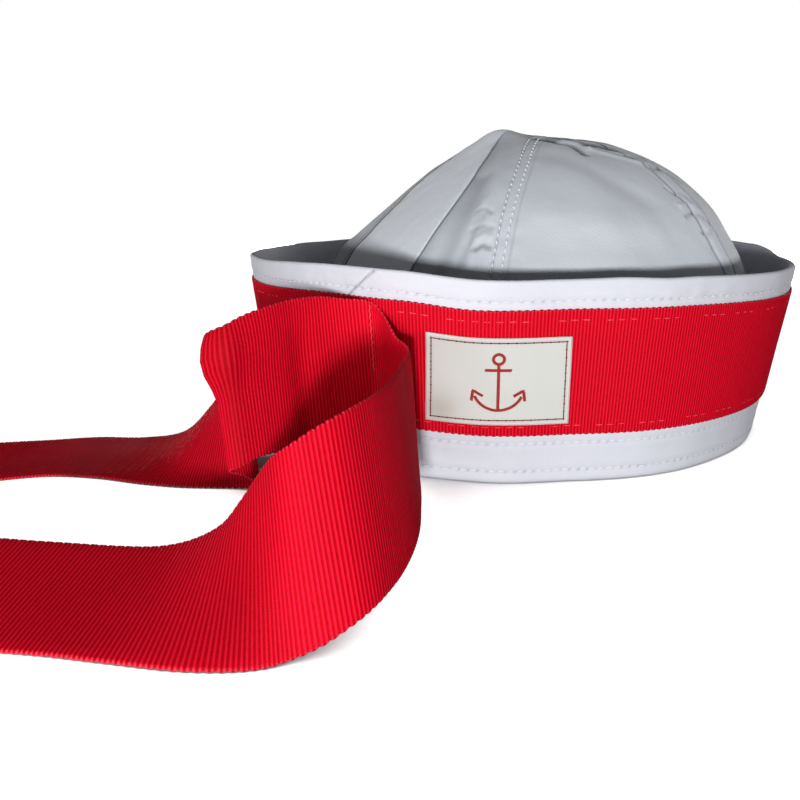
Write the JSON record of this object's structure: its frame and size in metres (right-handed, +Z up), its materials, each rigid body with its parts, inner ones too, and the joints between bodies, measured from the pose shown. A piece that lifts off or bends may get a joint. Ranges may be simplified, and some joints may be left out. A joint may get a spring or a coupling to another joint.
{
  "type": "sailor cap",
  "caption": "Soft white sailor cap with an upstanding brim, a red ribbed ribbon round it, a small front label and two loose ribbon tails.",
  "frame": {"origin": "middle of the base box of the whole part, on the surface that the brim and the ribbon tails rest on", "axes": "+Z up, -Y towards the front of the cap where the label is, +X towards the cap's right as seen from the front"},
  "size_m": [0.273, 0.3193, 0.1053],
  "materials": {
    "white_cloth": "cotton twill",
    "red_ribbon": "grosgrain ribbon",
    "label_cloth": "cream cotton label"
  },
  "bodies": {
    "root": {"brim": "white_cloth", "crown_gore_front_left": "white_cloth", "crown_gore_front_right": "white_cloth", "crown_gore_right": "white_cloth", "crown_gore_back_right": "white_cloth", "crown_gore_back_left": "white_cloth", "crown_gore_left": "white_cloth", "hat_band": "red_ribbon", "label": "label_cloth", "ribbon_tail_front": "red_ribbon", "ribbon_tail_back": "red_ribbon"}
  },
  "joints": []
}
